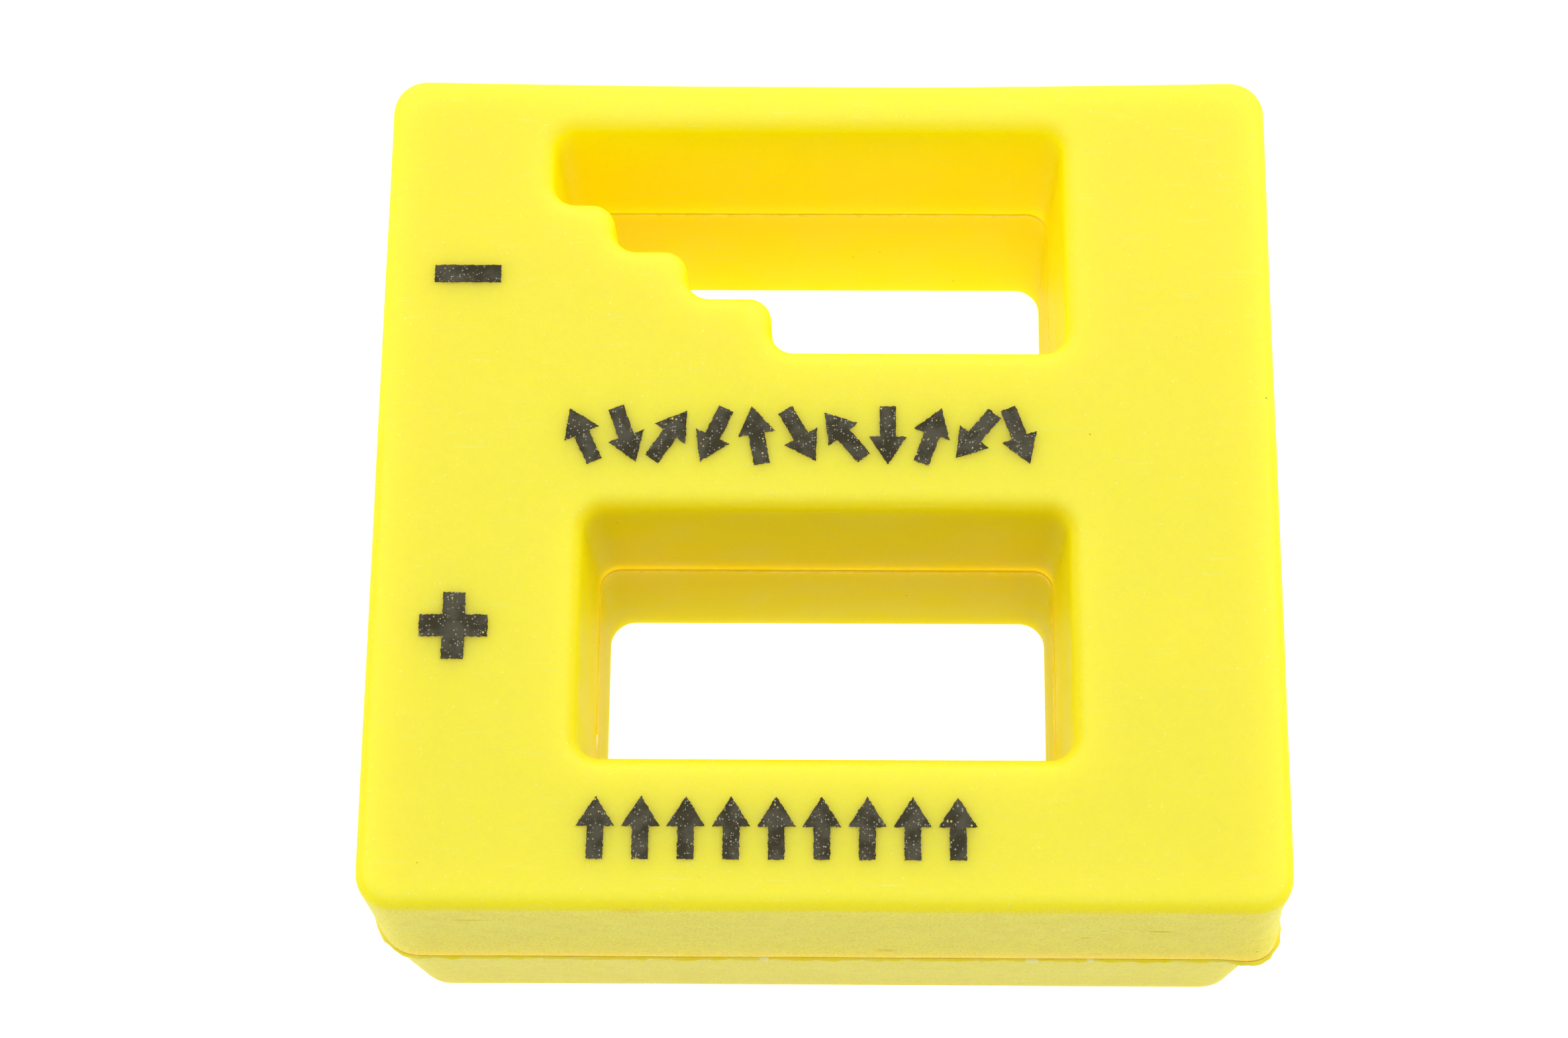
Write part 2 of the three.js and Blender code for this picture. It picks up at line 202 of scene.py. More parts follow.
def absorb(bm: bmesh.types.BMesh, part: bmesh.types.BMesh) -> None:
    """Adds a mesh to another one and frees it.

    Args:
        bm: The mesh that grows.
        part: The mesh that is added and freed.
    """
    carrier = bpy.data.meshes.new("carrier")
    part.to_mesh(carrier)
    part.free()
    bm.from_mesh(carrier)
    bpy.data.meshes.remove(carrier)


def cap(bm: bmesh.types.BMesh, height: float) -> None:
    """Closes every open loop at one height with flat faces, and leaves the loops inside others open.

    Args:
        bm: The mesh.
        height: The height of the loops.
    """
    near = 0.001 * MM
    edges = [e for e in bm.edges if e.is_boundary and all(abs(v.co.z - height) < near for v in e.verts)]
    bmesh.ops.triangle_fill(bm, use_beauty=True, use_dissolve=False, edges=edges, normal=(0.0, 0.0, 1.0))


def as_object(bm: bmesh.types.BMesh, name: str, sharp_above: float = 38.0) -> bpy.types.Object:
    """Turns a mesh into an object with smooth shading and sharp corners.

    Args:
        bm: The mesh, which is freed.
        name: The object's name.
        sharp_above: Edges that bend by more degrees than this stay sharp.

    Returns:
        The object, linked to the scene at the origin.
    """
    bmesh.ops.recalc_face_normals(bm, faces=bm.faces[:])
    for layer in ("start", "out"):
        if layer in bm.verts.layers.float_vector:
            bm.verts.layers.float_vector.remove(bm.verts.layers.float_vector[layer])
    mesh = bpy.data.meshes.new(name)
    bm.to_mesh(mesh)
    bm.free()
    mesh.shade_smooth()
    mesh.set_sharp_from_angle(angle=math.radians(sharp_above))
    piece = bpy.data.objects.new(name, mesh)
    bpy.context.scene.collection.objects.link(piece)
    return piece


def settle_in(piece: bpy.types.Object, material: bpy.types.Material, slot: str, *nodes: str) -> None:
    """Dresses a finished piece and ties it to the frame.

    Args:
        piece: The piece.
        material: Its finish.
        slot: The record's material slot, which is not used.
        nodes: The CAD nodes that the piece stands for.
    """
    piece.data.materials.append(material)
    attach(piece, BODY)
    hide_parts(*nodes)
    log.info("%s: %d faces, stands for %s", piece.name, len(piece.data.polygons), ", ".join(nodes))


def smooth_step(low: float, high: float, value: float) -> float:
    """Rises smoothly from 0 at low to 1 at high."""
    t = min(max((value - low) / (high - low), 0.0), 1.0)
    return t * t * (3.0 - 2.0 * t)


# ---- the block's shape ----


@dataclass(frozen=True)
class Seam:
    """The chamfered seam between the halves, and the cement bead in it."""

    seat: float = 0.35 * MM  # how deep the frame's beads sit in the wall
    proud: float = 0.15 * MM  # how far they stand out of it
    chamfer: float = 0.1 * MM
    height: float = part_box("lower_shell")[1].z


@dataclass(frozen=True)
class Steps:
    """The staircase at the left of the stepped window."""

    throat: float = 4.55 * MM
    rise: float = 2.88 * MM
    first_shelf: float = 3.58 * MM
    shelf_growth: float = 0.65 * MM
    count: int = 3

    def corners(self, left: float, right: float, front: float, back: float) -> list[tuple[float, float]]:
        """Works out the corners of a box with the staircase in its front left corner.

        Args:
            left: The left side of the box.
            right: Its right side.
            front: Its front side.
            back: Its back side.

        Returns:
            The corners, counter-clockwise.
        """
        corners = [(right, front), (right, back), (left, back)]
        x = left
        for step in range(self.count):
            y = back - self.throat - step * self.rise
            corners.append((x, y))
            x += self.first_shelf + step * self.shelf_growth
            corners.append((x, y))
        corners.append((x, front))
        return corners


@dataclass(frozen=True)
class Shrinkage:
    """How the walls of the block have moved off true as the plastic cooled."""

    back_sink: float = 0.38 * MM
    bar: float = 3.2 * MM  # how far in from the edge a wall moves
    front_belly: float = 0.2 * MM
    belly_fades: tuple[float, float] = (14.0 * MM, 21.0 * MM)  # heights
    corner_flare: float = 0.75 * MM
    flare_way: Triple = (0.7, -1.0, 0.0)
    flare_grows: tuple[float, float] = (14.4 * MM, 14.9 * MM)  # heights
    flare_fades: tuple[float, float] = (15.0 * MM, 23.0 * MM)  # heights
    corner_starts: float = -20.5 * MM
    ripple: float = 0.03 * MM
    ripple_length: float = 7.0 * MM

    def move(self, co: Vector) -> Vector:
        """Moves a point of the block to where the cooled plastic holds it.

        Args:
            co: The point on the true block.

        Returns:
            The point on the real one.
        """
        half_x, half_y = CAD_BOX[1][0], CAD_BOX[1][1]
        across = 1.0 - min(abs(co.x) / half_x, 1.0) ** 2
        near_back = smooth_step(half_y - self.bar, half_y, co.y)
        near_front = smooth_step(half_y - self.bar, half_y, -co.y)
        near_side = smooth_step(half_x - self.bar, half_x, abs(co.x))
        below = 1.0 - smooth_step(*self.belly_fades, co.z)
        moved = co.copy()
        moved.y -= self.back_sink * across * near_back
        moved.y -= self.front_belly * below * near_front
        above_seam = smooth_step(*self.flare_grows, co.z) * (1.0 - smooth_step(*self.flare_fades, co.z))
        near_right = smooth_step(half_x - self.bar, half_x, co.x)
        near_corner = near_right * smooth_step(self.corner_starts, -half_y, co.y)
        moved += Vector(self.flare_way) * (self.corner_flare * above_seam * near_corner)
        wander = noise.noise(Vector((co.x, co.y, 0.6 * co.z)) / self.ripple_length)
        edge = max(near_back, near_front, near_side)
        outwards = Vector((co.x / half_x, co.y / half_y, 0.0))
        return moved + outwards * (self.ripple * wander * edge)


@dataclass
class Windows:
    """The two openings and the block's own outline, all at the parting line."""

    seam: Seam
    draft: float
    steps: Steps = field(default_factory=Steps)
    corner_radius: float = 2.6 * MM
    window_radius: float = 1.3 * MM

    def __post_init__(self) -> None:
        """Reads the places of the openings from the beads in the frame."""
        _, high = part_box("seam_bead_outer")
        self.half_x = high.x - self.seam.proud
        self.half_y = high.y - self.seam.proud
        low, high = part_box("seam_bead_magnetize")
        inset = self.seam.seat - self.draft
        self.plain_sides = (low.x + inset, high.x - inset, low.y + inset, high.y - inset)
        low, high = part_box("seam_bead_demagnetize")
        self.stepped_sides = (low.x + inset, high.x - inset, low.y + inset, high.y - inset)

    def block(self, pitch: float = 0.8 * MM) -> Outline:
        """The outside of the block."""
        x, y = self.half_x, self.half_y
        return Outline([(-x, -y), (x, -y), (x, y), (-x, y)], self.corner_radius, pitch=pitch)

    def plain(self, pitch: float = 0.8 * MM) -> Outline:
        """The plain window.

        Args:
            pitch: The distance between its vertices.

        Returns:
            The outline.
        """
        left, right, front, back = self.plain_sides
        corners = [(left, front), (right, front), (right, back), (left, back)]
        return Outline(corners, self.window_radius, pitch=pitch)

    def stepped(self, pitch: float = 0.8 * MM) -> Outline:
        """The stepped window."""
        return Outline(self.steps.corners(*self.stepped_sides), self.window_radius, pitch=pitch)

    def room(self, wall: float, lining: float) -> Outline:
        """Outlines the hollow of the block, which runs round the stepped window but not behind it.

        Args:
            wall: The thickness of the outer wall.
            lining: The thickness of the wall round the stepped window.

        Returns:
            The outline.
        """
        left, right, front, back = self.stepped_sides
        x, y = self.half_x - wall, self.half_y - wall
        inner = self.steps.corners(left - lining, right + lining, front - lining, back)[1:]
        stairs = [(cx, cy - lining) for cx, cy in inner[2:-1]]
        notch = [(inner[0][0], y), (inner[0][0], front - lining), *(inner[-1:]), *reversed(stairs)]
        shape = [(-x, -y), (x, -y), (x, y), *notch, (inner[1][0], y), (-x, y)]
        return Outline(shape, 0.4 * MM, corner_steps=3, pitch=3.0 * MM)


@dataclass
class HalfShell:
    """One moulded half of the block, from the parting line to its face."""

    name: str
    node: str
    windows: Windows
    seam: Seam
    finish: bpy.types.Material
    face: float
    draft: float
    window_draft: float
    tongue: Rings
    post: Triple  # its radius, the height of its end, and of the end of its bore
    post_wall: float = 1.1 * MM
    wall: float = 2.2 * MM
    lining: float = 1.2 * MM
    face_thickness: float = 2.0 * MM
    edge_radius: float = 1.0 * MM
    edge_steps: int = 8
    wall_steps: int = 12
    shoulder: float = 0.15 * MM
    glue_line: float = 0.01 * MM
    slot: str = "body_plastic"

    def __post_init__(self) -> None:
        """Works out which way the half goes and where its hollow ends."""
        self.up = 1.0 if self.face > self.seam.height else -1.0
        self.depth = abs(self.face - self.seam.height) - self.glue_line
        self.ceiling = self.face - self.up * self.face_thickness

    def at(self, h: float) -> float:
        """The height of a level that is h away from the half's own side of the glue line."""
        return self.seam.height + self.up * (self.glue_line + h)

    def wall_rings(self, seam_grow: float, face_grow: float, out: float) -> Rings:
        """Steps of a wall from the seam's chamfer, over the rounded edge, to the face.

        Args:
            seam_grow: How far the wall stands outside its outline at the parting line.
            face_grow: The same at the face, before the edge is rounded.
            out: 1 for the outside of the block, and -1 for a window.

        Returns:
            The steps.
        """
        seat = self.seam.chamfer
        straight = self.depth - self.edge_radius
        rings = [(seam_grow - out * seat, self.at(0.0))]
        for i in range(self.wall_steps + 1):
            h = seat + (straight - seat) * i / self.wall_steps
            rings.append((seam_grow + (face_grow - seam_grow) * h / self.depth, self.at(h)))
        side = rings[-1][0]
        for i in range(1, self.edge_steps + 1):
            angle = 0.5 * math.pi * i / self.edge_steps
            inset = self.edge_radius * (1.0 - math.cos(angle))
            rings.append((side - out * inset, self.at(straight + self.edge_radius * math.sin(angle))))
        rings.append((side - out * (self.edge_radius + self.shoulder), self.face))
        return rings

    def walls(self) -> list[bmesh.types.BMesh]:
        """Makes the outer wall, the walls of both windows, the wall of the hollow and the posts in it.

        Returns:
            The open meshes.
        """
        tongue = [(grow, self.at(h)) for grow, h in self.tongue]
        outer = tongue + self.wall_rings(0.0, -self.draft, 1.0)
        opening = self.wall_rings(-self.windows.draft, -self.windows.draft + self.window_draft, -1.0)
        tube = [(self.lining, self.ceiling), (self.lining, self.at(0.0))]
        room = self.windows.room(self.wall, self.lining)
        radius, end, depth = self.post
        bore = -self.post_wall
        steps = [(0.0, self.ceiling), (0.0, end), (bore, end), (bore, depth)]
        left, _, front, back = self.windows.plain_sides
        _, _, stepped_front, stepped_back = self.windows.stepped_sides
        x = 0.5 * (self.windows.half_x - left)
        rows = (0.5 * (front + back), 0.5 * (stepped_front + stepped_back))
        posts = [swept_wall(RoundOutline(s * x, y, radius), steps) for s in (-1.0, 1.0) for y in rows]
        return [
            swept_wall(self.windows.block(), outer),
            swept_wall(self.windows.plain(), tube + opening),
            swept_wall(self.windows.stepped(), opening),
            swept_wall(room, [(0.0, self.ceiling), (0.0, self.at(0.0))]),
            *posts,
        ]

    def build(self, shrinkage: Shrinkage) -> None:
        """Builds the half as one closed body and dresses it.

        Args:
            shrinkage: How the plastic has moved.
        """
        bm = bmesh.new()
        for wall in self.walls():
            absorb(bm, wall)
        for height in (self.face, self.at(0.0), self.ceiling, self.post[2]):
            cap(bm, height)
        for vert in bm.verts:
            vert.co = shrinkage.move(vert.co)
        settle_in(as_object(bm, self.name), self.finish, self.slot, self.node)


@dataclass
class CementBead:
    """A bead of squeezed-out cement in one seam, with its ragged edge."""

    name: str
    node: str
    outline: Outline
    seam: Seam
    finish: bpy.types.Material
    out: float  # 1 outside the block, and -1 in a window
    base: float
    proud: float
    ragged: float = 0.7  # share of proud
    sunk: float = 0.04 * MM
    wobble: float = 0.12 * MM
    grain: float = 0.9 * MM
    fullest: float = 0.6
    slot: str = "seam_cement"

    def section(self) -> Rings:
        """Works out the bead's section, from the bottom of the seam, round the outside, and back.

        Returns:
            The steps of the section.
        """
        seat, sunk = self.seam.chamfer, -self.sunk
        steps = [
            (-seat, 0.0),
            (sunk, -2.6 * seat),
            (0.55 * self.proud, -2.0 * seat),
            (0.85 * self.proud, -0.9 * seat),
            (0.85 * self.proud, 0.2 * seat),
            (0.5 * self.proud, 0.9 * seat),
            (sunk, 1.5 * seat),
        ]
        return [(self.base + self.out * grow, self.seam.height + z) for grow, z in steps]

    def build(self, shrinkage: Shrinkage) -> None:
        """Builds the ring, makes it ragged and dresses it.

        Args:
            shrinkage: How the plastic round it has moved.
        """
        bm = swept_wall(self.outline, self.section())
        bmesh.ops.bridge_loops(bm, edges=[e for e in bm.edges if e.is_boundary])
        start = bm.verts.layers.float_vector["start"]
        out = bm.verts.layers.float_vector["out"]
        for vert in bm.verts:
            stands = self.out * ((vert.co - vert[start]).dot(vert[out].normalized()) - self.base)
            if stands < 0.3 * self.proud:
                continue
            place = vert[start] / self.grain
            bulge = noise.noise(place) + 0.5 * noise.noise(3.1 * place)
            vert.co += vert[out] * (self.out * self.ragged * self.proud * min(bulge, self.fullest))
            vert.co.z += self.wobble * noise.noise(place + Vector((0.0, 0.0, 9.0)))
        for vert in bm.verts:
            vert.co = shrinkage.move(vert.co)
        settle_in(as_object(bm, self.name, sharp_above=60.0), self.finish, self.slot, self.node)


@dataclass
class PrintedMark:
    """One printed sign or arrow, with the rough edge that the pad leaves."""

    node: str
    finish: bpy.types.Material
    pitch: float = 0.09 * MM
    rough: float = 0.055 * MM
    grain: float = 0.11 * MM
    slot: str = "print_ink"

    def outline(self) -> bmesh.types.BMesh:
        """Takes the flat underside of the CAD mark as one face.

        Returns:
            A new mesh with the face.
        """
        bm = bmesh.new()
        bm.from_mesh(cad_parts[self.node].data)
        bmesh.ops.remove_doubles(bm, verts=bm.verts[:], dist=0.001 * MM)
        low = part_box(self.node)[0].z
        above = [v for v in bm.verts if v.co.z > low + 0.01 * MM]
        bmesh.ops.delete(bm, geom=above, context="VERTS")
        inner = [e for e in bm.edges if not e.is_boundary]
        bmesh.ops.dissolve_edges(bm, edges=inner, use_verts=False)
        return bm

    def build(self) -> None:
        """Roughens the outline, gives the ink its thickness and dresses it."""
        bm = self.outline()
        low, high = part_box(self.node)
        cut_edges(bm, self.pitch)
        for vert in bm.verts:
            place = vert.co / self.grain
            vert.co.x += self.rough * noise.noise(place)
            vert.co.y += self.rough * noise.noise(place + Vector((0.0, 0.0, 9.0)))
        raised = bmesh.ops.extrude_face_region(bm, geom=bm.faces[:])["geom"]
        lift = Vector((0.0, 0.0, high.z - low.z))
        bmesh.ops.translate(bm, verts=[g for g in raised if isinstance(g, bmesh.types.BMVert)], vec=lift)
        bmesh.ops.triangulate(bm, faces=[f for f in bm.faces if len(f.verts) > 4])
        settle_in(as_object(bm, "ink_" + self.node), self.finish, self.slot, self.node)


# ---- finishes ----


class Graph:
    """A node tree with a short way to add and join nodes."""

    def __init__(self, tree: bpy.types.NodeTree) -> None:
        """Keeps the tree."""
        self.tree = tree

    def add(
        self, kind: str, inputs: dict | None = None, output: str | int = 0, **settings: object
    ) -> NodeSocket:
        """Adds a node.

        Args:
            kind: The node's type, without the ShaderNode at its start.
            inputs: Socket names or numbers, each with a value or with the socket that feeds it.
            output: The name or number of the output that is wanted.
            settings: The node's own settings.

        Returns:
            The output socket.
        """
        node = self.tree.nodes.new("ShaderNode" + kind)
        for key, value in settings.items():
            setattr(node, key, value)
        self.fill(node, inputs or {})
        return node.outputs[output]

    def fill(self, node: bpy.types.Node, inputs: dict) -> None:
        """Sets a node's inputs, or joins them to the sockets that feed them.

        Args:
            node: The node.
            inputs: Socket names or numbers, each with a value or with the socket that feeds it.
        """
        for key, value in inputs.items():
            if isinstance(value, NodeSocket):
                self.tree.links.new(value, node.inputs[key])
            else:
                node.inputs[key].default_value = value

    def math(self, operation: str, a: object, b: object = 0.0) -> NodeSocket:
        """Adds a Math node."""
        return self.add("Math", {0: a, 1: b}, operation=operation)

    def ramp(
        self, value: object, low: float, high: float, to: tuple[float, float] = (0.0, 1.0)
    ) -> NodeSocket:
        """Maps low to high smoothly onto another range.

        Args:
            value: The socket that is mapped.
            low: The value that gives the first number of the range.
            high: The value that gives the second.
            to: The range.

        Returns:
            The mapped socket.
        """
        inputs = {0: value, 1: low, 2: high, 3: to[0], 4: to[1]}
        return self.add("MapRange", inputs, interpolation_type="SMOOTHSTEP")

    def mix(self, share: object, a: object, b: object) -> NodeSocket:
        """Blends two colours: a at share 0 and b at share 1."""
        return self.add("Mix", {0: share, 6: a, 7: b}, output=2, data_type="RGBA")

    def tint(self, colour: object, mask: object, strength: float, tone: Colour) -> NodeSocket:
        """Blends a tone into a colour where a mask is, up to a strength."""
        return self.mix(self.math("MULTIPLY", mask, strength), colour, rgba(*tone))


class Canvas(Graph):
    """A material's graph, with its shader and the place on the piece in millimetres."""

    def __init__(self, name: str) -> None:
        """Starts a material.

        Args:
            name: The material's name.
        """
        self.material = bpy.data.materials.new(name)
        self.material.use_nodes = True
        super().__init__(self.material.node_tree)
        self.shader = self.tree.nodes["Principled BSDF"]
        there = self.add("TexCoord", output="Object")
        self.place = self.add("VectorMath", {0: there, 1: (1 / MM, 1 / MM, 1 / MM)}, operation="MULTIPLY")

    def finish(self, inputs: dict, height: NodeSocket, depth: float) -> bpy.types.Material:
        """Feeds the shader.

        Args:
            inputs: What goes into its sockets.
            height: The height of the surface, from 0 to about 1.
            depth: What a height of 1 stands for, in metres.

        Returns:
            The material.
        """
        normal = self.add("Bump", {"Height": height, "Strength": 1.0, "Distance": depth})
        self.fill(self.shader, {**inputs, "Normal": normal})
        return self.material


def rgba(red: float, green: float, blue: float) -> tuple[float, float, float, float]:
    """A colour with full alpha."""
    return (red, green, blue, 1.0)


class Socket(Enum):
    """The kinds of socket on a shared effect."""

    NUMBER = "NodeSocketFloat"
    PLACE = "NodeSocketVector"


class Effect:
    """A shared node group, built once."""

    def __init__(self, name: str, takes: dict[str, Socket], gives: Iterable[str]) -> None:
        """Makes the group and its sockets.

        Args:
            name: The group's name.
            takes: The input sockets.
            gives: The names of the outputs, which are numbers.
        """
        self.tree = bpy.data.node_groups.new(name, "ShaderNodeTree")
        for key, kind in takes.items():
            self.tree.interface.new_socket(key, in_out="INPUT", socket_type=kind.value)
        for key in gives:
            self.tree.interface.new_socket(key, in_out="OUTPUT", socket_type=Socket.NUMBER.value)
        self.graph = Graph(self.tree)
        self.inputs = self.tree.nodes.new("NodeGroupInput").outputs
        self.outputs = self.tree.nodes.new("NodeGroupOutput").inputs

    def give(self, name: str, socket: NodeSocket) -> None:
        """Joins a socket to an output."""
        self.tree.links.new(socket, self.outputs[name])

    def use(self, canvas: Canvas, output: str, **inputs: object) -> NodeSocket:
        """Places the group in a material.

        Args:
            canvas: The material.
            output: The output that is wanted.
            inputs: What goes into its other sockets.

        Returns:
            The output socket.
        """
        node = canvas.tree.nodes.new("ShaderNodeGroup")
        node.node_tree = self.tree
        canvas.fill(node, {"Place": canvas.place, **inputs})
        return node.outputs[output]


class Effects:
    """The effects that several finishes share."""

    def __init__(self) -> None:
        """Builds every effect."""
        self.grain = self.make_grain()
        self.specks = self.make_specks()
        self.scuffs = self.make_scuffs()
        self.spot = self.make_spot()

    @staticmethod
    def make_grain() -> Effect:
        """Makes the fine grain of a moulded or ground face, with a slow mottle.

        Returns:
            The effect.
        """
        effect = Effect("fine_grain", {"Place": Socket.PLACE, "Scale": Socket.NUMBER}, ["Height", "Mottle"])
        g, into = effect.graph, effect.inputs
        fine = g.add("TexNoise", {"Vector": into["Place"], "Scale": into["Scale"], "Detail": 3.0})
        coarse = g.math("MULTIPLY", into["Scale"], 0.12)
        slow = g.add("TexNoise", {"Vector": into["Place"], "Scale": coarse, "Detail": 4.0})
        effect.give("Height", g.math("ADD", fine, g.math("MULTIPLY", slow, 0.3)))
        effect.give("Mottle", g.ramp(slow, 0.35, 0.65))
        return effect

    @staticmethod
    def make_specks() -> Effect:
        """Makes small round specks: Scale is how many fit in a millimetre, and Rarity how many are missing.

        Returns:
            The effect.
        """
        takes = {"Place": Socket.PLACE} | {key: Socket.NUMBER for key in ("Scale", "Size", "Rarity")}
        effect = Effect("specks", takes, ["Mask"])
        g, into = effect.graph, effect.inputs
        cells = g.add("TexVoronoi", {"Vector": into["Place"], "Scale": into["Scale"]})
        colour = g.add("TexVoronoi", {"Vector": into["Place"], "Scale": into["Scale"]}, output="Color")
        chance = g.add("SeparateColor", {0: colour}, output=0)
        size = g.add("SeparateColor", {0: colour}, output=1)
        edge = g.math("MULTIPLY", into["Size"], g.math("ADD", size, 0.35))
        dot = g.math("LESS_THAN", cells, edge)
        kept = g.math("GREATER_THAN", chance, into["Rarity"])
        effect.give("Mask", g.math("MULTIPLY", dot, kept))
        return effect

    @staticmethod
    def make_scuffs() -> Effect:
        """Makes fine scratches that run nearly one way.

        Returns:
            The effect.
        """
        effect = Effect("scuffs", {"Place": Socket.PLACE, "Rarity": Socket.NUMBER}, ["Mask"])
        g, into = effect.graph, effect.inputs
        masks = []
        for turn, scale in ((0.5, 0.9), (1.9, 0.7), (2.6, 1.1)):
            stretch = (0.35 * scale, 7.0, 7.0)
            turned = {"Vector": into["Place"], "Rotation": (0.3, 0.2, turn), "Scale": stretch}
            streaks = g.add("TexNoise", {"Vector": g.add("Mapping", turned), "Scale": 1.0, "Detail": 1.0})
            masks.append(g.math("GREATER_THAN", streaks, into["Rarity"]))
        effect.give("Mask", g.math("MAXIMUM", masks[0], g.math("MAXIMUM", masks[1], masks[2])))
        return effect

    @staticmethod
    def make_spot() -> Effect:
        """Makes one soft spot at a place, with its own width each way, in millimetres.

        Returns:
            The effect.
        """
        takes = {"Place": Socket.PLACE, "Centre": Socket.PLACE, "Reach": Socket.PLACE}
        effect = Effect("spot", takes, ["Mask"])
        g, into = effect.graph, effect.inputs
        away = g.add("VectorMath", {0: into["Place"], 1: into["Centre"]}, operation="SUBTRACT")
        scaled = g.add("VectorMath", {0: away, 1: into["Reach"]}, operation="DIVIDE")
        length = g.add("VectorMath", {0: scaled}, output="Value", operation="LENGTH")
        ragged = g.add("TexNoise", {"Vector": into["Place"], "Scale": 3.0, "Detail": 3.0})
        edge = g.math("ADD", length, g.math("MULTIPLY", ragged, 0.8))
        effect.give("Mask", g.ramp(edge, 0.6, 1.4, (1.0, 0.0)))
        return effect


@dataclass(frozen=True)
class Finish:
    """What every finish has: a name and the shared effects."""

    name: str
    effects: Effects


@dataclass(frozen=True)
class Blemish:
    """A mark at one place on the block, in millimetres, with how far it reaches each way."""

    centre: Triple
    reach: Triple
    strength: float

    def mask(self, canvas: Canvas, effects: Effects) -> NodeSocket:
        """Masks the mark in a material."""
        return effects.spot.use(canvas, "Mask", Centre=self.centre, Reach=self.reach)


@dataclass(frozen=True)
class Zones:
    """Masks for the parts of the block that look different from each other."""

    outer_wall: NodeSocket
    sheltered: NodeSocket
    rim: NodeSocket
    back: NodeSocket
    glue_line: NodeSocket


@dataclass(frozen=True)
class MouldedPlastic(Finish):
    """Satin moulded plastic that lets a little light through."""

    body: Colour = (0.98, 0.79, 0.078)
    clean: Colour = (0.995, 0.80, 0.001)  # window walls
    # painted light: a deeper orange on the rounded rims, standing in for light through their thin edges
    rim: Colour = (0.97, 0.74, 0.012)
    # outer walls: a paler yellow, partly their real frosty dust and partly a painted sheen; the slow mottle
    # also leans to it
    pale: Colour = (0.97, 0.77, 0.125)  # outer walls
    # painted shade, darker in the hollows of the outer walls' grain
    painted_grain_shade: Colour = (0.80, 0.58, 0.06)  # the hollows of their grain
    scuffed: Colour = (0.95, 0.90, 0.35)
    # painted glints on the faces in the open
    painted_glint: Colour = (1.0, 0.97, 0.4)
    dirty: Colour = (0.20, 0.16, 0.02)
    stained: Colour = (0.90, 0.45, 0.03)
    nicked: Colour = (0.72, 0.50, 0.01)
    # painted light: a brighter yellow standing in for light through the thin back bar
    lit_through: Colour = (0.999, 0.87, 0.001)  # walls of the stepped window
    # painted glows, given off as emission:
    seeped: Colour = (0.075, 0.03, 0.0)  # light that the thin back bar passes on
    painted_joint_glow: Colour = (0.42, 0.37, 0.05)  # light that the cemented joint passes on
    scattering: Colour = (3.2, 3.0, 0.06)
    gloss: float = 0.02
    grain_depth: float = 0.02 * MM
    nicks: tuple[Blemish, ...] = ()
    stains: tuple[Blemish, ...] = ()

    def zones(self, g: Canvas) -> Zones:
        """Finds the walls, the rounded rims, the stepped window's end of the block and the glue line.

        Args:
            g: The material.

        Returns:
            The masks.
        """
        normal = g.add("NewGeometry", output="Normal")
        upright = g.math("ABSOLUTE", g.add("SeparateXYZ", {0: normal}, output="Z"))
        on_wall = g.ramp(upright, 0.25, 0.8, (1.0, 0.0))
        on_rim = g.math("MULTIPLY", g.ramp(upright, 0.1, 0.35), g.ramp(upright, 0.75, 0.97, (1.0, 0.0)))
        x, y, z = (g.add("SeparateXYZ", {0: g.place}, output=axis) for axis in "XYZ")
        near_edge = [
            g.ramp(g.math("ABSOLUTE", along), half / MM - 2.5, half / MM - 1.6)
            for along, half in zip((x, y), CAD_BOX[1])
        ]
        outer_wall = g.math("MULTIPLY", on_wall, g.math("MAXIMUM", *near_edge))
        from_seam = g.math("ABSOLUTE", g.math("SUBTRACT", z, Seam.height / MM))
        return Zones(
            outer_wall=outer_wall,
            sheltered=g.math("SUBTRACT", on_wall, outer_wall),
            rim=on_rim,
            back=g.ramp(y, 1.0, 4.0),
            glue_line=g.math("LESS_THAN", from_seam, 0.02),
        )

    def colour_and_painted_light(self, g: Canvas, zones: Zones, mottle: NodeSocket, height: NodeSocket) -> NodeSocket:
        """Colours the faces, walls and rims, with painted light in them: the glow of light through the back
        bar, a tint on the rims, shade in the grain's hollows and, with real dust, a sheen on the outer
        walls.

        Args:
            g: The material.
            zones: The masks of the block's parts.
            mottle: The slow mottle.
            height: The fine grain.

        Returns:
            The colour.
        """
        # Painted glow: the walls and rims at the back, round the stepped window, take the colour of light
        # through the thin back bar.
        inside = g.mix(zones.back, rgba(*self.clean), rgba(*self.lit_through))
        rounded = g.mix(zones.back, rgba(*self.rim), rgba(*self.lit_through))
        # The outer walls turn paler: partly real frosty dust, partly a painted sheen.
        dust_and_sheen = g.math("MULTIPLY", zones.outer_wall, g.math("ADD", g.math("MULTIPLY", mottle, 0.3), 0.3))
        # Painted shade in the hollows of the outer walls' grain.
        grain_hollow_shade = g.math("MULTIPLY", zones.outer_wall, g.ramp(height, 0.5, 0.72, (0.55, 0.0)))
        # Painted light on the rims, stronger at the front than at the back.
        on_rim = g.math("MULTIPLY", zones.rim, g.ramp(zones.back, 0.0, 1.0, (0.6, 0.3)))
        colour = g.tint(rgba(*self.body), mottle, 0.12, self.pale)
        colour = g.mix(zones.sheltered, colour, inside)
        colour = g.mix(dust_and_sheen, colour, rgba(*self.pale))
        colour = g.mix(grain_hollow_shade, colour, rgba(*self.painted_grain_shade))
        return g.mix(on_rim, colour, rounded)

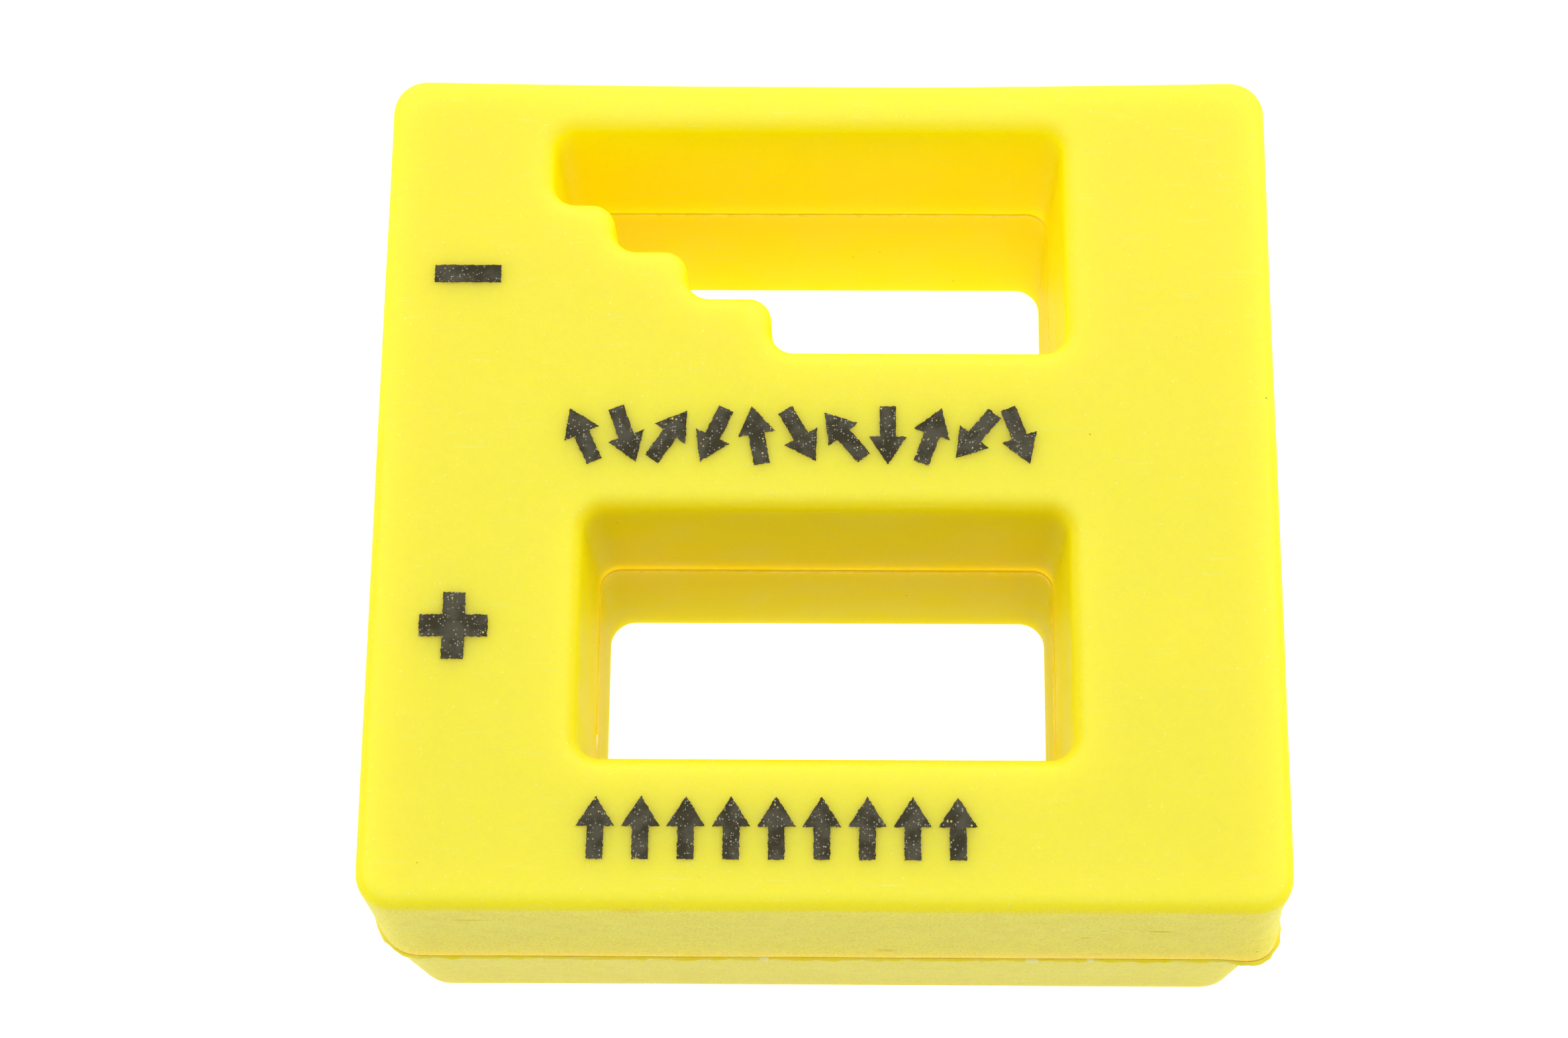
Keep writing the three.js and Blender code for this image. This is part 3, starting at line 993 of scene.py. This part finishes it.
    def wear_and_glint_colour(self, g: Canvas, zones: Zones, colour: NodeSocket) -> NodeSocket:
        """Adds scuffs, painted glints, dirt and stains.

        Args:
            g: The material.
            zones: The masks of the block's parts.
            colour: The colour so far.

        Returns:
            The colour.
        """
        fx = self.effects
        scuffs = fx.scuffs.use(g, "Mask", Rarity=0.735)
        # Painted glints: bright specks on the faces in the open, kept off the sheltered walls.
        grains = fx.specks.use(g, "Mask", Scale=3.0, Size=0.15, Rarity=0.75)
        glint_mask = g.math("MULTIPLY", grains, g.math("SUBTRACT", 1.0, zones.sheltered))
        dirt = fx.specks.use(g, "Mask", Scale=0.6, Size=0.03, Rarity=0.8)
        colour = g.tint(colour, scuffs, 0.15, self.scuffed)
        colour = g.tint(colour, glint_mask, 0.35, self.painted_glint)
        colour = g.tint(colour, dirt, 0.75, self.dirty)
        for stain in self.stains:
            colour = g.tint(colour, stain.mask(g, fx), stain.strength, self.stained)
        return colour

    def build(self) -> bpy.types.Material:
        """Builds the material.

        Returns:
            The material.
        """
        g, fx = Canvas(self.name), self.effects
        mottle = fx.grain.use(g, "Mottle", Scale=2.2)
        height = fx.grain.use(g, "Height", Scale=7.0)
        zones = self.zones(g)
        colour = self.wear_and_glint_colour(g, zones, self.colour_and_painted_light(g, zones, mottle, height))
        dents = 0.0
        for nick in self.nicks:
            mask = nick.mask(g, fx)
            colour = g.tint(colour, mask, nick.strength, self.nicked)
            dents = g.math("ADD", dents, mask)
        # Painted glow: emission on the stepped window's walls stands in for light that the thin back bar
        # passes on, and emission on the hidden glue-line faces for light that the cemented joint passes on.
        seeping = g.mix(g.math("MULTIPLY", zones.sheltered, zones.back), BLACK, rgba(*self.seeped))
        inputs = {
            "Base Color": colour,
            "Roughness": g.ramp(mottle, 0.0, 1.0, (0.42, 0.52)),
            "Specular IOR Level": self.gloss,
            "Emission Color": g.mix(zones.glue_line, seeping, rgba(*self.painted_joint_glow)),
            "Emission Strength": 1.0,
            "Subsurface Weight": 1.0,
            "Subsurface Radius": self.scattering,
            "Subsurface Scale": MM,
        }
        grain = g.math("MULTIPLY", height, g.math("ADD", g.math("MULTIPLY", zones.outer_wall, 1.6), 1.0))
        return g.finish(inputs, g.math("SUBTRACT", grain, g.math("MULTIPLY", dents, 4.0)), self.grain_depth)


@dataclass(frozen=True)
class SeamCement(Finish):
    """Cement and flash of the same plastic, paler and glossier, and broken along its length."""

    body: Colour = (0.97, 0.80, 0.025)
    bright: Colour = (0.98, 0.87, 0.16)
    # pale flakes, partly painted glints
    flake_and_glint: Colour = (1.0, 0.97, 0.5)

    def build(self) -> bpy.types.Material:
        """Builds the material.

        Returns:
            The material.
        """
        g, fx = Canvas(self.name), self.effects
        patches = fx.grain.use(g, "Mottle", Scale=5.0)
        height = fx.grain.use(g, "Height", Scale=4.0)
        # Pale flakes on the bead, partly painted glints.
        flakes_and_glints = fx.specks.use(g, "Mask", Scale=0.9, Size=0.35, Rarity=0.75)
        colour = g.tint(rgba(*self.body), patches, 0.5, self.bright)
        colour = g.tint(colour, flakes_and_glints, 0.7, self.flake_and_glint)
        rough = g.ramp(patches, 0.0, 1.0, (0.45, 0.25))
        inputs = {"Base Color": colour, "Roughness": rough, "Specular IOR Level": 0.15}
        return g.finish(inputs, height, 0.03 * MM)


@dataclass(frozen=True)
class PadInk(Finish):
    """Dark grey ink over a grainy face, with pinholes and pale grains."""

    body: Colour = (0.034, 0.028, 0.010)
    grain: Colour = (0.38, 0.36, 0.27)

    def build(self) -> bpy.types.Material:
        """Builds the material.

        Returns:
            The material.
        """
        g, fx = Canvas(self.name), self.effects
        mottle = fx.grain.use(g, "Mottle", Scale=9.0)
        height = fx.grain.use(g, "Height", Scale=9.0)
        grains = fx.specks.use(g, "Mask", Scale=8.0, Size=0.34, Rarity=0.62)
        holes = fx.specks.use(g, "Mask", Scale=4.5, Size=0.22, Rarity=0.93)
        colour = g.tint(rgba(*self.body), mottle, 0.1, self.grain)
        colour = g.tint(colour, grains, 0.7, self.grain)
        colour = g.tint(colour, holes, 0.8, (0.75, 0.62, 0.10))
        rough = g.ramp(mottle, 0.0, 1.0, (0.62, 0.45))
        inputs = {"Base Color": colour, "Roughness": rough, "Specular IOR Level": 0.2}
        return g.finish(inputs, g.math("ADD", height, grains), 0.02 * MM)


@dataclass(frozen=True)
class Ferrite(Finish):
    """Ground ferrite: dark grey, with pores and grinding lines."""

    def build(self) -> bpy.types.Material:
        """Builds the material.

        Returns:
            The material.
        """
        g, fx = Canvas(self.name), self.effects
        mottle = fx.grain.use(g, "Mottle", Scale=5.0)
        height = fx.grain.use(g, "Height", Scale=11.0)
        pores = fx.specks.use(g, "Mask", Scale=1.6, Size=0.22, Rarity=0.7)
        lines = fx.scuffs.use(g, "Mask", Rarity=0.66)
        colour = g.mix(mottle, rgba(0.035, 0.035, 0.04), rgba(0.085, 0.085, 0.09))
        colour = g.tint(colour, lines, 0.5, (0.16, 0.16, 0.17))
        colour = g.mix(pores, colour, rgba(0.015, 0.015, 0.017))
        inputs = {"Base Color": colour, "Roughness": g.ramp(mottle, 0.0, 1.0, (0.75, 0.5))}
        return g.finish(inputs, g.math("SUBTRACT", height, pores), 0.04 * MM)


@dataclass(frozen=True)
class HotMelt(Finish):
    """Cloudy cream adhesive with small bubbles."""

    def build(self) -> bpy.types.Material:
        """Builds the material.

        Returns:
            The material.
        """
        g, fx = Canvas(self.name), self.effects
        cloud = fx.grain.use(g, "Mottle", Scale=6.0)
        height = fx.grain.use(g, "Height", Scale=3.0)
        bubbles = fx.specks.use(g, "Mask", Scale=1.8, Size=0.3, Rarity=0.6)
        colour = g.mix(cloud, rgba(0.86, 0.80, 0.60), rgba(0.93, 0.90, 0.78))
        colour = g.tint(colour, bubbles, 0.5, (0.97, 0.96, 0.92))
        inputs = {
            "Base Color": colour,
            "Roughness": g.ramp(cloud, 0.0, 1.0, (0.28, 0.42)),
            "Subsurface Weight": 0.5,
            "Subsurface Radius": (1.5, 1.2, 0.8),
            "Subsurface Scale": MM,
        }
        return g.finish(inputs, g.math("SUBTRACT", height, bubbles), 0.05 * MM)


# ---- the whole block ----


def from_mm(*steps: tuple[float, float]) -> Rings:
    """Turns the steps of a wall from millimetres into metres."""
    return [(grow * MM, height * MM) for grow, height in steps]


@dataclass
class Casing:
    """Both halves of the block and the cement between them."""

    effects: Effects
    seam: Seam = field(default_factory=Seam)
    shrinkage: Shrinkage = field(default_factory=Shrinkage)
    upper_draft: float = 0.6 * MM
    lower_draft: float = 0.35 * MM
    upper_window_draft: float = 0.08 * MM
    lower_window_draft: float = 0.4 * MM
    post_radius: float = 2.3 * MM
    post_bore: float = 4.0 * MM  # how far below the parting line the bore ends
    gap: float = 0.15 * MM
    bead_pitch: float = 0.25 * MM

    def __post_init__(self) -> None:
        """Lays out the windows."""
        self.windows = Windows(self.seam, self.upper_window_draft)

    def build(self) -> None:
        """Builds the halves and the three beads."""
        self.build_halves(self.plastic())
        self.build_beads()

    def plastic(self) -> bpy.types.Material:
        """Makes the plastic, with the marks of use on the front wall.

        Returns:
            The material.
        """
        wall = -self.windows.half_y / MM
        nicks = (
            Blemish((18.6, wall, 22.3), (1.1, 2.0, 0.32), 0.9),
            Blemish((-19.5, wall, 24.6), (1.6, 2.0, 0.22), 0.7),
            Blemish((14.6, wall, 20.5), (0.5, 2.0, 0.2), 0.7),
            Blemish((3.4, wall, 17.2), (0.9, 2.0, 0.5), 0.5),
        )
        stains = (
            Blemish((-10.6, wall, 27.0), (1.3, 2.0, 0.9), 0.35),
            Blemish((0.9, wall, 26.2), (0.8, 2.0, 0.4), 0.25),
        )
        return MouldedPlastic("yellow_moulded_plastic", self.effects, nicks=nicks, stains=stains).build()

    def build_halves(self, plastic: bpy.types.Material) -> None:
        """Builds both halves.

        Args:
            plastic: Their finish.
        """
        parting = self.seam.height
        shared = (self.windows, self.seam, plastic)
        HalfShell(
            "upper_half",
            "upper_shell",
            *shared,
            face=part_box("upper_shell")[1].z,
            draft=self.upper_draft,
            window_draft=self.upper_window_draft,
            tongue=from_mm((-1.6, 0.0), (-1.6, -1.2), (-0.8, -1.2), (-0.8, 0.0)),
            post=(self.post_radius, parting + self.gap, parting - self.post_bore),
        ).build(self.shrinkage)
        HalfShell(
            "lower_half",
            "lower_shell",
            *shared,
            face=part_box("lower_shell")[0].z,
            draft=self.lower_draft,
            window_draft=self.lower_window_draft,
            tongue=from_mm((-1.75, 0.0), (-1.75, 1.35), (-0.65, 1.35), (-0.65, 0.0)),
            post=(self.post_radius + self.gap, parting - self.gap, parting - self.post_bore - self.gap),
        ).build(self.shrinkage)

    def build_beads(self) -> None:
        """Builds the bead round the block and the one in each window."""
        cement = SeamCement("squeezed_cement", self.effects).build()
        # The stepped window's bead takes the same painted glow of light through the back bar as the walls
        # round it.
        clean = {"body": (0.999, 0.87, 0.003), "bright": (0.999, 0.90, 0.01), "flake_and_glint": (0.999, 0.92, 0.05)}
        flush = SeamCement("flush_cement", self.effects, **clean).build()
        windows = self.windows
        inside = -windows.draft
        for place, outline, finish, out, base, proud in (
            ("outer", windows.block, cement, 1.0, 0.0, 0.17 * MM),
            ("magnetize", windows.plain, cement, -1.0, inside, 0.11 * MM),
            ("demagnetize", windows.stepped, flush, -1.0, inside, 0.03 * MM),
        ):
            names = (place + "_bead", "seam_bead_" + place)
            ring = CementBead(*names, outline(self.bead_pitch), self.seam, finish, out, base, proud)
            ring.build(self.shrinkage)


@dataclass
class MagnetRows:
    """The magnets and the adhesive under them, which keep their CAD shape."""

    effects: Effects

    def build(self) -> None:
        """Dresses the CAD nodes."""
        ferrite = Ferrite("ground_ferrite", self.effects).build()
        melt = HotMelt("hot_melt_adhesive", self.effects).build()
        for name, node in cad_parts.items():
            if not name.endswith("_magnet") and "_adhesive_" not in name:
                continue
            material = ferrite if name.endswith("_magnet") else melt
            node.data.materials.clear()
            node.data.materials.append(material)
            log.info("%s keeps its shape and gets %s", name, material.name)


@dataclass
class Print:
    """All the printed marks."""

    effects: Effects

    def build(self) -> None:
        """Builds every sign and arrow that the frame has."""
        ink = PadInk("pad_printed_ink", self.effects).build()
        for name in sorted(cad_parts):
            if name.endswith("_mark") or "_arrow_" in name:
                PrintedMark(name, ink).build()


# ---- the studio ----


@dataclass
class Studio:
    """The floor, the lights and the camera."""

    floor_size: float = 3.0
    floor_glow: float = 0.75
    room_light: float = 0.25
    lens: float = 68.12
    shift: tuple[float, float] = (-0.01624, -0.00788)
    camera_place: Triple = (0.870 * MM, -49.51 * MM, 186.83 * MM)
    camera_turns: Triple = (2.14, 90.0 - 73.276, -1.842)

    def build(self) -> None:
        """Builds the whole studio."""
        self.lay_floor()
        self.light()
        self.set_camera()

    def lay_floor(self) -> None:
        """Lays a plain white floor under the block."""
        bm = bmesh.new()
        bmesh.ops.create_grid(bm, x_segments=1, y_segments=1, size=0.5 * self.floor_size)
        bmesh.ops.translate(bm, verts=bm.verts[:], vec=(0.0, 0.0, -0.02 * MM))
        mesh = bpy.data.meshes.new("floor")
        bm.to_mesh(mesh)
        bm.free()
        floor = bpy.data.objects.new("floor", mesh)
        bpy.context.scene.collection.objects.link(floor)
        material = bpy.data.materials.new("white_floor")
        material.use_nodes = True
        shader = material.node_tree.nodes["Principled BSDF"]
        graph = Graph(material.node_tree)
        seen = graph.add("LightPath", output="Is Camera Ray")
        inputs = {
            "Base Color": rgba(0.5, 0.5, 0.5),
            "Roughness": 1.0,
            "Emission Color": rgba(1.0, 1.0, 1.0),
            "Emission Strength": graph.math("MAXIMUM", seen, self.floor_glow),
        }
        graph.fill(shader, inputs)
        mesh.materials.append(material)

    def light(self) -> None:
        """Sets the soft lights and the light of the room."""
        world = bpy.data.worlds.new("room")
        bpy.context.scene.world = world
        world.use_nodes = True
        background = world.node_tree.nodes["Background"]
        background.inputs["Color"].default_value = rgba(1.0, 1.0, 1.0)
        background.inputs["Strength"].default_value = self.room_light
        self.soft_box("overhead", (0.0, 0.1, 0.55), (0.4, 0.4), 1.03)
        self.soft_box("behind", (0.0, 0.5, 0.25), (0.6, 0.3), 0.95)
        self.soft_box("front", (0.0, -0.5, 0.35), (0.6, 0.3), 0.25)
        self.soft_box("left", (-0.5, 0.05, 0.4), (0.5, 0.4), 1.7)
        self.soft_box("right", (0.5, 0.05, 0.4), (0.5, 0.4), 1.85)
        bpy.context.scene.view_settings.view_transform = "Standard"

    @staticmethod
    def soft_box(name: str, place: Triple, size: tuple[float, float], power: float) -> None:
        """Hangs a soft box that looks at the block.

        Args:
            name: Its name.
            place: Its middle.
            size: Its width and height.
            power: Its power in watts.
        """
        lamp = bpy.data.lights.new(name, "AREA")
        lamp.shape = "RECTANGLE"
        lamp.size, lamp.size_y = size
        lamp.energy = power
        box = bpy.data.objects.new(name, lamp)
        aim = Vector((0.0, 0.0, 0.01)) - Vector(place)
        box.matrix_world = Matrix.Translation(place) @ aim.to_track_quat("-Z", "Y").to_matrix().to_4x4()
        bpy.context.scene.collection.objects.link(box)

    def set_camera(self) -> None:
        """Sets the camera above the front of the block."""
        lens = bpy.data.cameras.new("camera")
        lens.lens = self.lens
        lens.sensor_width = 36.0
        lens.shift_x, lens.shift_y = self.shift
        lens.clip_start = 0.01
        camera = bpy.data.objects.new("camera", lens)
        pan, tilt, roll = (math.radians(turn) for turn in self.camera_turns)
        turned = Matrix.Rotation(pan, 3, "Z") @ Matrix.Rotation(tilt, 3, "X") @ Matrix.Rotation(roll, 3, "Z")
        camera.matrix_world = Matrix.Translation(self.camera_place) @ turned.to_4x4()
        bpy.context.scene.collection.objects.link(camera)
        bpy.context.scene.camera = camera


def main() -> None:
    """Builds the block, its marks and the studio."""
    logging.basicConfig(level=logging.INFO, format="%(message)s")
    effects = Effects()
    Casing(effects).build()
    MagnetRows(effects).build()
    Print(effects).build()
    Studio().build()


if __name__ == "__main__":
    main()
